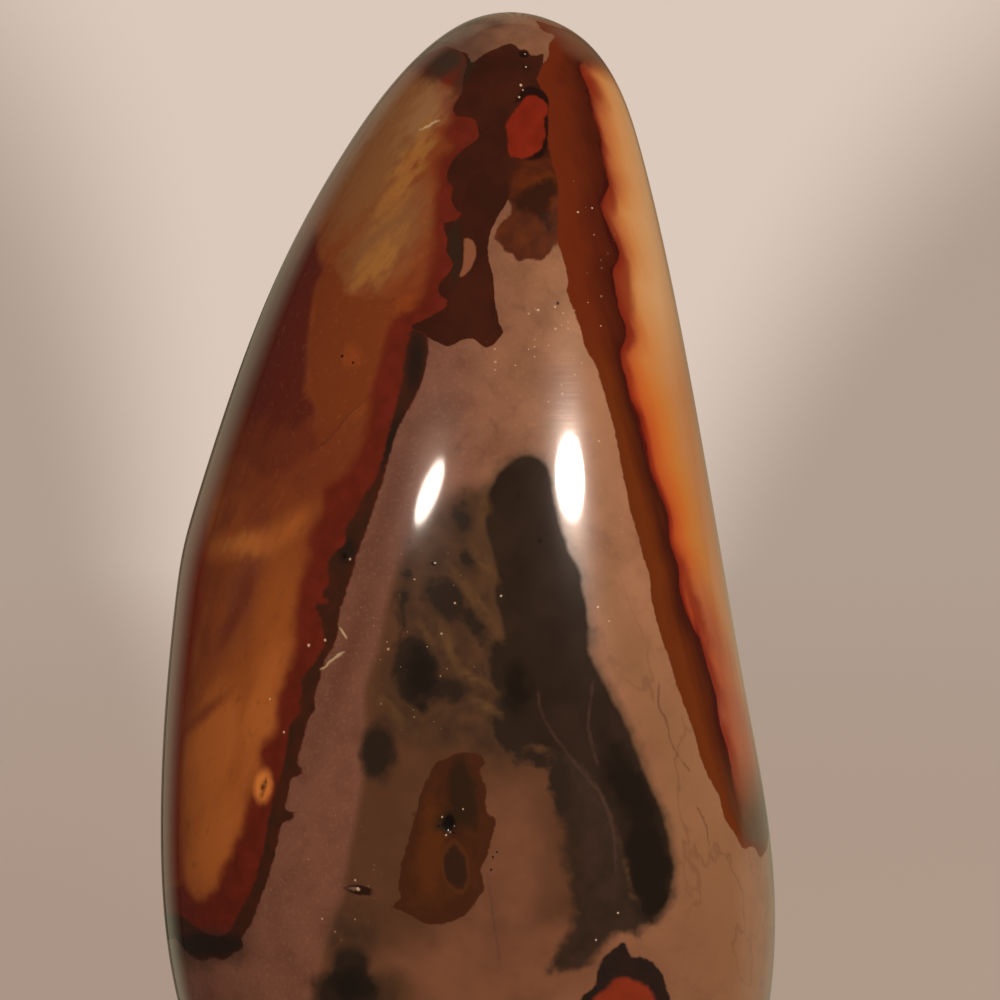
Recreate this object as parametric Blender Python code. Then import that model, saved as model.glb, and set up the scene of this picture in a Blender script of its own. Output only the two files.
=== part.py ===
"""A polished freeform of polychrome jasper: one solid stone that leans to a round tip and stands on a flat cut base.

Blender's metres, +Z up, +X to the right and -Y to the front. The origin is on the base, under the middle of the stone.
"""

import math

import bmesh
import bpy
import numpy as np

MM = 0.001

# Outlines of the stone in millimetres, as (across, height above the base). Each runs up one side, over
# the tip and down the other side. The front view runs from left to right, the side view from front to back.
TIP_HEIGHT = 153.1
FRONT_VIEW = (
    (-26.5, 0.0),
    (-33.8, 11.0),
    (-38.8, 25.0),
    (-40.7, 46.0),
    (-38.7, 76.0),
    (-37.6, 83.2),
    (-35.8, 89.7),
    (-31.8, 102.0),
    (-26.6, 115.7),
    (-16.3, 135.2),
    (-9.7, 144.3),
    (-4.2, 149.6),
    (0.3, 152.2),
    (5.4, TIP_HEIGHT),
    (10.4, 152.1),
    (14.7, 149.6),
    (18.8, 144.3),
    (22.1, 135.2),
    (26.6, 115.7),
    (31.4, 89.7),
    (36.0, 63.7),
    (39.1, 45.0),
    (38.9, 25.0),
    (35.3, 11.0),
    (29.5, 0.0),
)
SIDE_VIEW = (
    (-22.0, 0.0),
    (-27.8, 11.0),
    (-31.3, 26.0),
    (-32.3, 46.0),
    (-31.2, 72.0),
    (-28.6, 91.0),
    (-22.6, 115.7),
    (-13.6, 138.0),
    (-6.2, 149.0),
    (2.0, TIP_HEIGHT),
    (9.4, 149.6),
    (16.6, 138.0),
    (24.6, 115.7),
    (29.8, 91.0),
    (31.9, 68.0),
    (31.9, 44.0),
    (30.0, 24.0),
    (26.8, 11.0),
    (21.5, 0.0),
)

FULLNESS = 0.10  # how much fuller than an ellipse a level section is
TURN = 0.15  # how far a level section is turned, so that its front ridge lies right of the middle
BASE_ROUNDING = 1.2

# Places where the stone was ground a little flatter: the angle round the stone in degrees (0 is the right
# side, 90 the back) and the height of the middle, the spread in degrees and in millimetres, and the depth.
FLATS = (
    (62.0, 58.0, 24.0, 30.0, 1.8),
    (128.0, 92.0, 24.0, 28.0, 1.5),
    (100.0, 24.0, 30.0, 15.0, 0.9),
)

POINTS_AROUND = 80
RINGS = 56
OUTLINE_SAMPLES = 4000

STONE_COLOUR = (0.24, 0.10, 0.055, 1.0)
STONE_ROUGHNESS = 0.08
STONE_IOR = 1.54


def clear_scene():
    for obj in list(bpy.data.objects):
        bpy.data.objects.remove(obj, do_unlink=True)


def smooth_curve(points):
    """A dense natural cubic spline through the points, with the chord length as its parameter."""
    points = np.array(points)
    step = np.linalg.norm(np.diff(points, axis=0), axis=1)
    place = np.concatenate([[0.0], np.cumsum(step)])
    slope = np.diff(points, axis=0) / step[:, None]
    count = len(points)
    system = np.eye(count)
    target = np.zeros_like(points)
    for i in range(1, count - 1):
        system[i, i - 1 : i + 2] = step[i - 1], 2 * (step[i - 1] + step[i]), step[i]
        target[i] = 6 * (slope[i] - slope[i - 1])
    bend = np.linalg.solve(system, target)
    at = np.linspace(0.0, place[-1], OUTLINE_SAMPLES)
    i = np.clip(np.searchsorted(place, at) - 1, 0, count - 2)
    width = step[i][:, None]
    low = (place[i + 1] - at)[:, None] / width
    high = 1 - low
    sag = ((low**3 - low) * bend[i] + (high**3 - high) * bend[i + 1]) * width**2 / 6
    return low * points[i] + high * points[i + 1] + sag


def two_sides(outline):
    """The two sides of an outline as dense (across, height) points, each from the base up to the tip."""
    curve = smooth_curve(outline)
    top = int(curve[:, 1].argmax())
    curve[:, 1] *= TIP_HEIGHT / curve[top, 1]
    return curve[: top + 1], curve[top:][::-1]


LEFT, RIGHT = two_sides(FRONT_VIEW)
FRONT, BACK = two_sides(SIDE_VIEW)


def across(side, height):
    """Where one side of an outline lies at a height."""
    return np.interp(height, side[:, 1], side[:, 0])


def ground_away(angle, height):
    """How deep the flats lie below the plain section, in millimetres."""
    depth = 0.0
    for middle, level, spread, reach, most in FLATS:
        turned = (math.degrees(angle) - middle + 180) % 360 - 180
        depth += most * math.exp(-((turned / spread) ** 2) - ((height - level) / reach) ** 2)
    return depth


def surface_point(angle, height):
    """The surface at an angle round the stone, in radians, and a height, as x, y and z in millimetres."""
    left, right = across(LEFT, height), across(RIGHT, height)
    front, back = across(FRONT, height), across(BACK, height)
    cut = ground_away(angle, height)
    half_width, half_depth = (right - left) / 2 - cut, (back - front) / 2 - cut
    cos, sin = math.cos(angle), math.sin(angle)
    x = (left + right) / 2 + half_width * cos * (1 + FULLNESS * sin**2)
    y = (front + back) / 2 + half_depth * (sin * (1 + FULLNESS * cos**2) - TURN * cos)
    return x, y, height


def ring_heights():
    """Heights of the rings, evenly spaced along the left outline, so that they draw together over the tip."""
    travel = np.concatenate([[0.0], np.cumsum(np.linalg.norm(np.diff(LEFT, axis=0), axis=1))])
    return np.interp(np.linspace(0.0, travel[-1], RINGS + 1), travel, LEFT[:, 1])


def stone_mesh():
    """The stone as rings of faces from the flat base up to one point at the tip."""
    bm = bmesh.new()
    *heights, top = ring_heights()
    angles = [2 * math.pi * i / POINTS_AROUND for i in range(POINTS_AROUND)]
    rings = []
    for height in heights:
        rings.append([bm.verts.new(np.multiply(surface_point(angle, height), MM)) for angle in angles])
    tip = bm.verts.new(np.multiply(surface_point(0.0, top), MM))
    for lower, upper in zip(rings, rings[1:]):
        for i in range(POINTS_AROUND):
            j = (i + 1) % POINTS_AROUND
            bm.faces.new((lower[i], lower[j], upper[j], upper[i]))
    for i in range(POINTS_AROUND):
        bm.faces.new((rings[-1][i], rings[-1][(i + 1) % POINTS_AROUND], tip))
    base = bm.faces.new(reversed(rings[0]))
    bmesh.ops.bevel(
        bm,
        geom=list(base.edges),
        offset=BASE_ROUNDING * MM,
        segments=3,
        profile=0.5,
        affect="EDGES",
    )
    mesh = bpy.data.meshes.new("jasper_freeform")
    bm.to_mesh(mesh)
    bm.free()
    mesh.shade_smooth()
    mesh.set_sharp_from_angle(angle=math.radians(35))
    return mesh


def polished_stone():
    material = bpy.data.materials.new("polished_jasper")
    material.use_nodes = True
    shader = material.node_tree.nodes["Principled BSDF"]
    shader.inputs["Base Color"].default_value = STONE_COLOUR
    shader.inputs["Roughness"].default_value = STONE_ROUGHNESS
    shader.inputs["Metallic"].default_value = 0.0
    shader.inputs["IOR"].default_value = STONE_IOR
    return material


def main():
    clear_scene()
    stone = bpy.data.objects.new("jasper_freeform", stone_mesh())
    stone.data.materials.append(polished_stone())
    bpy.context.scene.collection.objects.link(stone)


main()
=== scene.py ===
"""A polished freeform of polychrome jasper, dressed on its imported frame."""
import math

import bpy
import numpy as np
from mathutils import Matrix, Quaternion, Vector
from mathutils.bvhtree import BVHTree
from mathutils.kdtree import KDTree

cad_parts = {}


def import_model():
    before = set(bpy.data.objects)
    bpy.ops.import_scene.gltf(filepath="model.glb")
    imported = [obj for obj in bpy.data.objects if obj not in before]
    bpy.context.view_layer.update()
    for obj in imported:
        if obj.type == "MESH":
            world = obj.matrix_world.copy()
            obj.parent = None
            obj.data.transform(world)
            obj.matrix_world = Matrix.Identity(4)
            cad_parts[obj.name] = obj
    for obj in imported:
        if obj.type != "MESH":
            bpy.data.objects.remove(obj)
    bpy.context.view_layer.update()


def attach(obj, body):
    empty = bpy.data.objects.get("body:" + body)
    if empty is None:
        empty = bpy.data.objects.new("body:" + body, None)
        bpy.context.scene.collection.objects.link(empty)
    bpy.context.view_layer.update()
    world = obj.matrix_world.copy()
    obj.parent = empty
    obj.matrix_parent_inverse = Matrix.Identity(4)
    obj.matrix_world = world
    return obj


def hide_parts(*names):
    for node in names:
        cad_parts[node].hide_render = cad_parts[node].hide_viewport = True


MM = 0.001

# The stone's outlines, as in its solid: (across, height) in millimetres.
TIP_HEIGHT = 153.1
FRONT_VIEW = (
    (-26.5, 0.0), (-33.8, 11.0), (-38.8, 25.0), (-40.7, 46.0), (-38.7, 76.0), (-37.6, 83.2),
    (-35.8, 89.7), (-31.8, 102.0), (-26.6, 115.7), (-16.3, 135.2), (-9.7, 144.3), (-4.2, 149.6),
    (0.3, 152.2), (5.4, TIP_HEIGHT), (10.4, 152.1), (14.7, 149.6), (18.8, 144.3), (22.1, 135.2),
    (26.6, 115.7), (31.4, 89.7), (36.0, 63.7), (39.1, 45.0), (38.9, 25.0), (35.3, 11.0),
    (29.5, 0.0),
)
SIDE_VIEW = (
    (-22.0, 0.0), (-27.8, 11.0), (-31.3, 26.0), (-32.3, 46.0), (-31.2, 72.0), (-28.6, 91.0),
    (-22.6, 115.7), (-13.6, 138.0), (-6.2, 149.0), (2.0, TIP_HEIGHT), (9.4, 149.6), (16.6, 138.0),
    (24.6, 115.7), (29.8, 91.0), (31.9, 68.0), (31.9, 44.0), (30.0, 24.0), (26.8, 11.0),
    (21.5, 0.0),
)
FULLNESS = 0.10  # how much fuller than an ellipse a level section is
TURN = 0.15  # how far a level section is turned
# Places ground a little flatter: angle round the stone in degrees and height of the middle,
# spread in degrees and in millimetres, depth.
FLATS = (
    (62.0, 58.0, 24.0, 30.0, 1.8),
    (128.0, 92.0, 24.0, 28.0, 1.5),
    (100.0, 24.0, 30.0, 15.0, 0.9),
)
BASE_ROUNDING = 1.2

# The stone's mesh: columns round it, rows up it, and rings across its base.
COLUMNS = 380
ROWS = 245
BASE_RINGS = 6
FRONT_CROWDING = 0.35  # columns stand this much closer at the front than on average
OUTLINE_SAMPLES = 6000
SOLVING_ROUNDS = 30  # rounds in which the turn of a point is found

# The photograph's frame: 1000 pixels wide and 0.13 mm to a pixel at the stone.
PHOTO_SIZE = 1000
PIXEL = 0.13
CAMERA_DISTANCE = 650.0
CAMERA_ELEVATION = 5.0
AIM = (3.9, 0.0, 89.95)

# Where the photograph shows the two bright reflections.
RIGHT_GLINT = (571, 475)
LEFT_GLINT = (429, 490)


def smooth_curve(points):
    """A dense natural cubic spline through the points, with the chord length as its parameter."""
    points = np.array(points)
    step = np.linalg.norm(np.diff(points, axis=0), axis=1)
    place = np.concatenate([[0.0], np.cumsum(step)])
    slope = np.diff(points, axis=0) / step[:, None]
    count = len(points)
    system = np.eye(count)
    target = np.zeros_like(points)
    for i in range(1, count - 1):
        system[i, i - 1 : i + 2] = step[i - 1], 2 * (step[i - 1] + step[i]), step[i]
        target[i] = 6 * (slope[i] - slope[i - 1])
    bend = np.linalg.solve(system, target)
    at = np.linspace(0.0, place[-1], OUTLINE_SAMPLES)
    i = np.clip(np.searchsorted(place, at) - 1, 0, count - 2)
    width = step[i][:, None]
    low = (place[i + 1] - at)[:, None] / width
    high = 1 - low
    sag = ((low**3 - low) * bend[i] + (high**3 - high) * bend[i + 1]) * width**2 / 6
    return low * points[i] + high * points[i + 1] + sag


def two_sides(outline):
    """The two sides of an outline as dense (across, height) points, each from the base up."""
    curve = smooth_curve(outline)
    top = int(curve[:, 1].argmax())
    curve[:, 1] *= TIP_HEIGHT / curve[top, 1]
    return curve[: top + 1], curve[top:][::-1]


LEFT, RIGHT = two_sides(FRONT_VIEW)
FRONT, BACK = two_sides(SIDE_VIEW)


def across(side, height):
    """How far across a side of an outline lies at a height."""
    return np.interp(height, side[:, 1], side[:, 0])


def ground_away(angle, height):
    """How deep the flats lie below the plain section, in millimetres."""
    depth = 0.0
    for middle, level, spread, reach, most in FLATS:
        turned = (np.degrees(angle) - middle + 180) % 360 - 180
        depth = depth + most * np.exp(-((turned / spread) ** 2) - ((height - level) / reach) ** 2)
    return depth


def section(angle, height):
    """Middle and half sizes of the level section."""
    left, right = across(LEFT, height), across(RIGHT, height)
    front, back = across(FRONT, height), across(BACK, height)
    cut = ground_away(angle, height)
    low = np.clip(BASE_ROUNDING - height, 0.0, BASE_ROUNDING)
    cut = cut + BASE_ROUNDING - np.sqrt(BASE_ROUNDING**2 - low**2)
    return (left + right) / 2, (front + back) / 2, (right - left) / 2 - cut, (back - front) / 2 - cut


def surface(turn, height):
    """Points of the stone at turns from the front, in degrees to the right, and heights."""
    angle = np.radians(np.asarray(turn, float) - 90.0)
    height = np.asarray(height, float)
    x0, y0, half_width, half_depth = section(angle, height)
    cos, sin = np.cos(angle), np.sin(angle)
    x = x0 + half_width * cos * (1 + FULLNESS * sin**2)
    y = y0 + half_depth * (sin * (1 + FULLNESS * cos**2) - TURN * cos)
    return np.stack([x, y, height + 0 * x], axis=-1)


def turn_of(points):
    """The turns at which points of the surface lie."""
    x, y, height = np.moveaxis(np.asarray(points, float), -1, 0)
    angle = np.arctan2(y, x)
    for _ in range(SOLVING_ROUNDS):
        x0, y0, half_width, half_depth = section(angle, height)
        cos = (x - x0) / half_width / (1 + FULLNESS * np.sin(angle) ** 2)
        sin = ((y - y0) / half_depth + TURN * np.cos(angle)) / (1 + FULLNESS * np.cos(angle) ** 2)
        angle = np.arctan2(sin, cos)
    return (np.degrees(angle) + 90.0 + 180.0) % 360.0 - 180.0


def stone_grid():
    """The turns of the columns and the heights of the rows, evenly spaced up the left side."""
    travel = np.concatenate([[0.0], np.cumsum(np.linalg.norm(np.diff(LEFT, axis=0), axis=1))])
    heights = np.interp(np.linspace(0.0, travel[-1], ROWS + 1), travel, LEFT[:, 1])
    share = np.arange(COLUMNS) / COLUMNS * 2 * math.pi - math.pi
    turns = np.degrees(share - FRONT_CROWDING * np.sin(share))
    return turns, heights[:-1]


def quads(rows, columns, closed=True):
    """Faces between neighbouring rows of points."""
    faces = []
    for row in range(rows - 1):
        for i in range(columns if closed else columns - 1):
            low = row * columns + i
            beside = row * columns + (i + 1) % columns
            faces.append((low, beside, beside + columns, low + columns))
    return faces


def stone_mesh():
    """The stone as rings of points up to its tip and in across its base, and each point's turn."""
    turns, heights = stone_grid()
    grid = surface(turns[None, :], heights[:, None])
    places = list(grid.reshape(-1, 3) * MM)
    turn = list(np.tile(turns, len(heights)))
    faces = quads(len(heights), COLUMNS)
    tip = len(places)
    places.append(surface(0.0, TIP_HEIGHT) * MM)
    turn.append(0.0)
    last = (len(heights) - 1) * COLUMNS
    for i in range(COLUMNS):
        faces.append((last + i, last + (i + 1) % COLUMNS, tip))
    ring = list(range(COLUMNS))
    middle = grid[0].mean(axis=0)
    for k in range(1, BASE_RINGS):
        share = 1 - k / BASE_RINGS
        start = len(places)
        places += list((middle + (grid[0] - middle) * share) * MM)
        turn += list(turns)
        new = list(range(start, start + COLUMNS))
        for i in range(COLUMNS):
            j = (i + 1) % COLUMNS
            faces.append((ring[j], ring[i], new[i], new[j]))
        ring = new
    faces.append(tuple(reversed(ring)))
    mesh = bpy.data.meshes.new("polished_stone")
    mesh.from_pydata([tuple(p) for p in places], [], faces)
    mesh.shade_smooth()
    return mesh, np.array(turn)


# Outlines of the markings, as runs that are joined with +. front() takes points as pixels of the
# photograph, behind() takes points out of its sight as (turn to the right in degrees, height in
# millimetres).


def front(*points):
    return (("front", points),)


def behind(*points):
    return (("behind", points),)


# Borders that more than one marking shares, and the long ones.
MATRIX_SEAM_OUTER = (
    (426, 335), (428, 341), (427, 357), (423, 378), (416, 395), (406, 414), (396, 432), (389, 458),
    (381, 486), (372, 512), (364, 535), (356, 558), (353, 570), (348, 585), (344, 598), (340, 609),
    (338, 624), (337, 638), (330, 651), (323, 663), (319, 682), (314, 698), (315, 708), (307, 721),
    (303, 740), (297, 763), (300, 768), (306, 771), (300, 775), (291, 779), (287, 800), (284, 809),
    (290, 811), (298, 815), (291, 819), (281, 825), (277, 845), (272, 864), (266, 884), (260, 900),
    (254, 916), (247, 930), (241, 938), (243, 948), (233, 953), (225, 960), (212, 957), (204, 961),
    (193, 957), (183, 948), (176, 938),
)
SEAM_OUTER_BEHIND = (
    (-78, 32), (-95, 31), (-115, 36), (-135, 47), (-150, 64), (-155, 85), (-150, 106), (-140, 124),
    (-125, 138), (-100, 149),
)
SEAM_INNER_BEHIND = (
    (-100, 147.5), (-122, 136), (-136, 122), (-146, 104), (-151, 85), (-146, 66), (-132, 50),
    (-115, 39.5), (-95, 34.5), (-78, 36),
)
SEAM_INNER = (
    (181, 915), (189, 922), (198, 928), (208, 934), (220, 936), (230, 930), (238, 914), (246, 900),
    (254, 883), (259, 864), (265, 843), (268, 820), (277, 786), (284, 763), (288, 740), (289, 730),
    (294, 718), (302, 711), (300, 703), (302, 692), (301, 680), (304, 675), (314, 663), (321, 652),
    (326, 640), (323, 631), (320, 617), (314, 602), (326, 605), (328, 600), (322, 593), (326, 589),
    (330, 582), (328, 567), (333, 553), (345, 545), (345, 530), (353, 517), (361, 501), (377, 476),
    (384, 453), (390, 428), (397, 401), (402, 383), (405, 355), (411, 332), (412, 327),
)
PANEL_TOP_EDGE = (
    (452, 42), (466, 60), (463, 79), (462, 92), (453, 109), (456, 115), (474, 119), (478, 130),
    (478, 138), (469, 145), (455, 157), (448, 170), (447, 179), (453, 188), (451, 198), (456, 210),
    (462, 213), (459, 218), (443, 225), (447, 237), (447, 253), (453, 262), (447, 275), (439, 283),
    (439, 294), (447, 300), (447, 305), (437, 313), (425, 319), (411, 327),
)
PANEL_BODY_EDGE = (
    (418, 72), (432, 80), (444, 86), (456, 94), (450, 108), (449, 120), (441, 132), (450, 146),
    (438, 158), (436, 180), (434, 200), (432, 222), (434, 241), (430, 262), (424, 280), (420, 293),
    (404, 300), (394, 315), (383, 341), (377, 364), (371, 387), (365, 426), (356, 453), (344, 472),
    (322, 487), (321, 510), (313, 525), (308, 541), (310, 556), (304, 571), (298, 594), (295, 615),
    (296, 631), (295, 643), (288, 664), (279, 690), (276, 714), (275, 731), (263, 742), (257, 752),
    (262, 766), (256, 782), (249, 800), (243, 822), (235, 840), (228, 856), (221, 873), (214, 888),
    (204, 898), (192, 895), (183, 880),
)
BAND_LEFT_EDGE = (
    (526, 16), (536, 32), (542, 46), (546, 58), (541, 68), (537, 79), (541, 88), (548, 97),
    (548, 130), (549, 150), (554, 170), (558, 187), (558, 242), (560, 248), (564, 262), (568, 283),
    (567, 290), (571, 304), (574, 313), (580, 327), (587, 351), (596, 366), (602, 385), (606, 400),
    (614, 428), (622, 470), (627, 493), (631, 514), (639, 538), (644, 559), (650, 579), (651, 596),
    (655, 615), (664, 645), (669, 658), (676, 683), (686, 710), (696, 739), (701, 759), (711, 781),
    (719, 796), (725, 819), (735, 834), (744, 849), (754, 847), (760, 857), (766, 851), (769, 824),
)
BAND_RIGHT_EDGE = (
    (598, 54), (588, 60), (580, 66), (588, 87), (590, 98), (595, 120), (601, 143), (604, 166),
    (609, 184), (602, 207), (610, 230), (619, 256), (613, 272), (619, 307), (627, 334), (621, 353),
    (627, 382), (631, 400), (639, 418), (646, 446), (651, 471), (662, 498), (668, 516), (670, 543),
    (679, 567), (680, 587), (687, 614), (700, 639), (709, 670), (717, 696), (720, 723), (727, 746),
    (731, 766), (733, 784), (738, 802), (743, 820), (749, 836), (758, 843), (767, 838),
)
OUTLINES = {
    "cap": (
        front(
            (447, 46), (457, 50), (467, 54), (472, 62), (479, 58), (487, 52), (495, 49), (504, 45),
            (513, 44), (519, 49), (526, 50), (531, 55), (539, 55), (543, 54), (543, 64), (548, 57),
            (549, 44), (555, 36), (543, 31), (535, 20),
        )
        + behind((60, 151.5), (110, 149.5), (150, 147.5), (190, 146.5), (240, 146), (285, 147.5))
    ),
    "dark_patch": front(
        (452, 58), (446, 110), (440, 180), (438, 240), (430, 290), (404, 317), (408, 330),
        (429, 338), (441, 344), (448, 346), (465, 339), (473, 339), (480, 344), (486, 348),
        (498, 340), (503, 332), (500, 325), (496, 309), (493, 278), (488, 252), (490, 234),
        (496, 220), (507, 202), (511, 196), (516, 206), (540, 215), (556, 200), (562, 165),
        (558, 130), (555, 97), (548, 88), (544, 79), (548, 68), (553, 58), (556, 48), (556, 38),
        (510, 36), (470, 40),
    ),
    "pebble": front(
        (464, 239), (467, 238), (474, 242), (476, 253), (474, 262), (466, 274), (458, 278),
        (462, 270), (464, 253),
    ),
    "red_spot": front(
        (518, 108), (526, 97), (534, 95), (543, 100), (548, 108), (544, 120), (545, 133),
        (542, 146), (533, 155), (520, 158), (510, 155), (508, 140), (506, 126), (511, 116),
    ),
    "spot_ring": front(
        (514, 104), (522, 90), (534, 87), (545, 93), (550, 104), (548, 122), (548, 138),
        (545, 154), (536, 161), (524, 162), (530, 150), (538, 130), (536, 108), (526, 100),
    ),
    "brown_blob": front(
        (519, 190), (530, 181), (545, 172), (556, 176), (561, 187), (560, 215), (558, 239),
        (550, 251), (542, 260), (530, 259), (519, 261), (512, 254), (504, 250), (499, 242),
        (495, 241), (498, 228), (503, 221), (511, 211), (509, 196),
    ),
    "blob_core": front(
        (512, 198), (519, 194), (530, 186), (543, 179), (553, 179), (559, 187), (555, 196),
        (549, 202), (550, 214), (550, 230), (542, 222), (530, 213), (518, 210),
    ),
    "right_band": (
        front(*BAND_LEFT_EDGE)
        + behind(
            (94, 41), (108, 41), (124, 50), (136, 66), (143, 86), (144, 106), (138, 126),
            (128, 142), (115, 150.5),
        )
    ),
    "right_zone": (
        front(*BAND_RIGHT_EDGE)
        + behind(
            (93, 47), (97, 54), (98, 64), (100, 76), (106, 85), (116, 92), (122, 104), (118, 120),
            (108, 134), (94, 144), (76, 149),
        )
    ),
    "panel": (
        front(*PANEL_TOP_EDGE, *MATRIX_SEAM_OUTER)
        + behind(*SEAM_OUTER_BEHIND)
    ),
    "panel_seam": (
        front(*MATRIX_SEAM_OUTER)
        + behind(*SEAM_OUTER_BEHIND)
        + behind(*SEAM_INNER_BEHIND)
        + front(*SEAM_INNER)
    ),
    "panel_body": (
        front(*PANEL_BODY_EDGE)
        + behind(
            (-78, 39), (-95, 37.5), (-114, 43), (-130, 53), (-142, 68), (-146, 86), (-142, 102),
            (-133, 118), (-120, 132), (-100, 145),
        )
    ),
    "crown_rust": front(
        (517, 164), (524, 160), (536, 160), (548, 158), (556, 164), (563, 190), (562, 240),
        (552, 246), (540, 214), (522, 206), (513, 200), (510, 188),
    ),
    "rim_maroon": (
        front(
            (222, 455), (214, 490), (206, 540), (203, 600), (194, 650), (186, 700), (182, 750),
            (180, 800), (181, 850), (184, 880), (190, 900),
        )
        + behind((-80, 38), (-87, 41), (-92, 51), (-88, 63), (-92, 75), (-88, 88), (-82, 98))
    ),
    "veil": front(
        (425, 535), (402, 560), (388, 600), (378, 650), (366, 690), (366, 760), (358, 810),
        (348, 860), (342, 900), (330, 940), (318, 1010), (380, 1040), (470, 1030), (560, 990),
        (580, 905), (585, 860), (575, 800), (560, 740), (540, 690), (520, 600), (510, 520),
        (470, 490), (440, 508),
    ),
    "maroon_field": (
        front(
            (316, 253), (325, 272), (316, 284), (311, 318), (308, 348), (306, 380), (307, 395),
            (318, 411), (313, 426), (319, 444), (298, 460), (287, 472), (267, 478), (252, 466),
            (236, 458), (214, 470),
        )
        + behind(
            (-95, 97), (-106, 98), (-114, 103), (-124, 111), (-117, 117), (-104, 118), (-95, 125),
        )
        + front((309, 225), (318, 235))
    ),
    "amber_lobe": front(
        (330, 262), (345, 290), (380, 297), (398, 303), (388, 330), (380, 360), (376, 384),
        (364, 402), (350, 414), (342, 426), (330, 440), (319, 447), (318, 430), (316, 405),
        (311, 392), (309, 360), (312, 325), (316, 290),
    ),
    "olive": front(
        (529, 455), (546, 466), (553, 493), (559, 519), (568, 549), (578, 567), (583, 586),
        (586, 607), (588, 632), (589, 650), (599, 676), (616, 706), (633, 743), (644, 773),
        (657, 802), (666, 827), (671, 855), (672, 877), (668, 897), (660, 909), (650, 914),
        (639, 903), (630, 878), (623, 845), (611, 812), (597, 785), (576, 762), (553, 749),
        (530, 742), (515, 722), (509, 697), (498, 693), (492, 678), (495, 643), (503, 641),
        (502, 620), (495, 597), (497, 574), (487, 530), (483, 507), (493, 483), (506, 466),
    ),
    "olive_shade": front(
        (545, 735), (575, 748), (605, 790), (625, 850), (640, 900), (652, 916), (640, 931),
        (617, 935), (600, 950), (589, 961), (571, 970), (548, 972), (556, 950), (572, 930),
        (568, 891), (565, 853), (558, 807), (548, 765),
    ),
    "inclusion": front(
        (456, 753), (472, 753), (481, 756), (484, 764), (478, 770), (483, 780), (486, 791),
        (486, 812), (494, 818), (496, 824), (492, 835), (489, 846), (486, 858), (481, 869),
        (483, 881), (484, 890), (476, 900), (464, 916), (426, 924), (409, 914), (391, 906),
        (401, 899), (399, 886), (401, 869), (405, 852), (410, 835), (414, 818), (406, 815),
        (416, 812), (420, 795), (429, 777), (435, 764), (449, 758),
    ),
    "low_ring": front(
        (580, 1000), (594, 987), (597, 973), (603, 958), (613, 949), (624, 943), (628, 949),
        (631, 957), (643, 957), (655, 965), (663, 976), (666, 988), (670, 998), (668, 1030),
        (655, 1052), (632, 1062), (606, 1056), (588, 1036),
    ),
    "low_eye": front(
        (593, 1000), (606, 989), (614, 980), (624, 977), (636, 981), (645, 985), (652, 992),
        (655, 1004), (654, 1026), (644, 1042), (628, 1048), (611, 1043), (598, 1026),
    ),
    "back_island": behind(
        (165, 30), (172, 22), (180, 20), (190, 26), (196, 40), (199, 58), (195, 78), (188, 92),
        (180, 97), (172, 90), (166, 72), (162, 50),
    ),
    "low_islands": behind(
        (-128, 12), (-118, 9), (-108, 12), (-106, 20), (-112, 27), (-122, 28), (-130, 22),
    ),
}

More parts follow.
